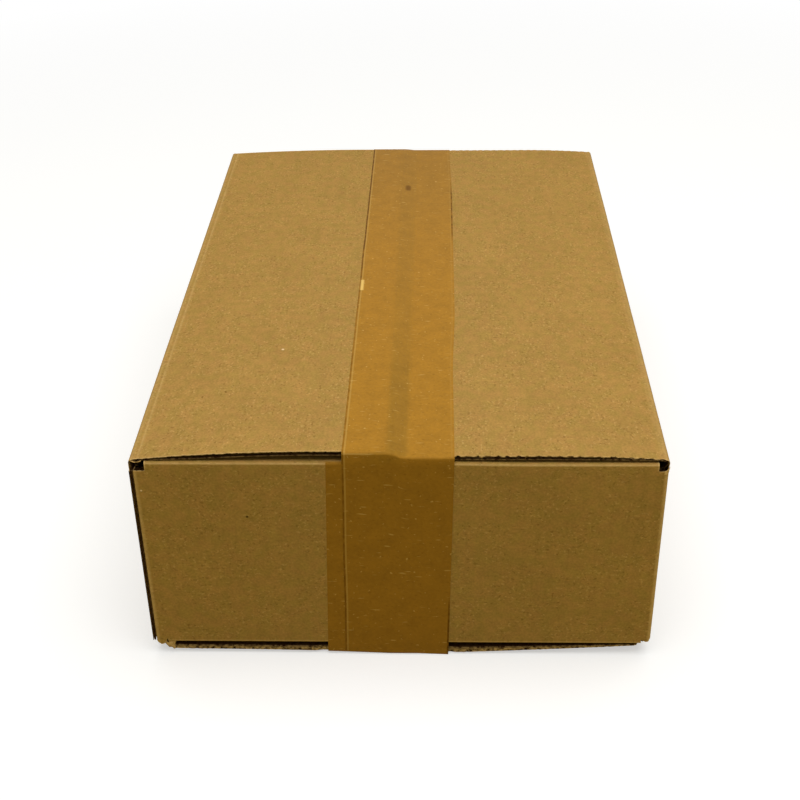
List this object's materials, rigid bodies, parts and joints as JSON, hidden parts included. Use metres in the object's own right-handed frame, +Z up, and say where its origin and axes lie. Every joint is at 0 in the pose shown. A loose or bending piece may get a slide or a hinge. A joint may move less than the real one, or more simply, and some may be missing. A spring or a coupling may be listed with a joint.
{
  "type": "taped parcel",
  "caption": "Low oblong corrugated cardboard parcel with its flaps folded shut and brown packing tape over the seams and down both ends.",
  "frame": {"origin": "on the surface that the parcel rests on, below the middle of the carton", "axes": "+X across the front end panel, +Y from the front end to the back, +Z up"},
  "size_m": [0.235, 0.356, 0.1159],
  "materials": {
    "kraft_board": "matt brown kraft facing",
    "packing_tape": "satin brown film, slightly see-through"
  },
  "bodies": {
    "root": {"carton": "kraft_board", "top_tape": "packing_tape", "bottom_tape": "packing_tape"}
  },
  "joints": []
}
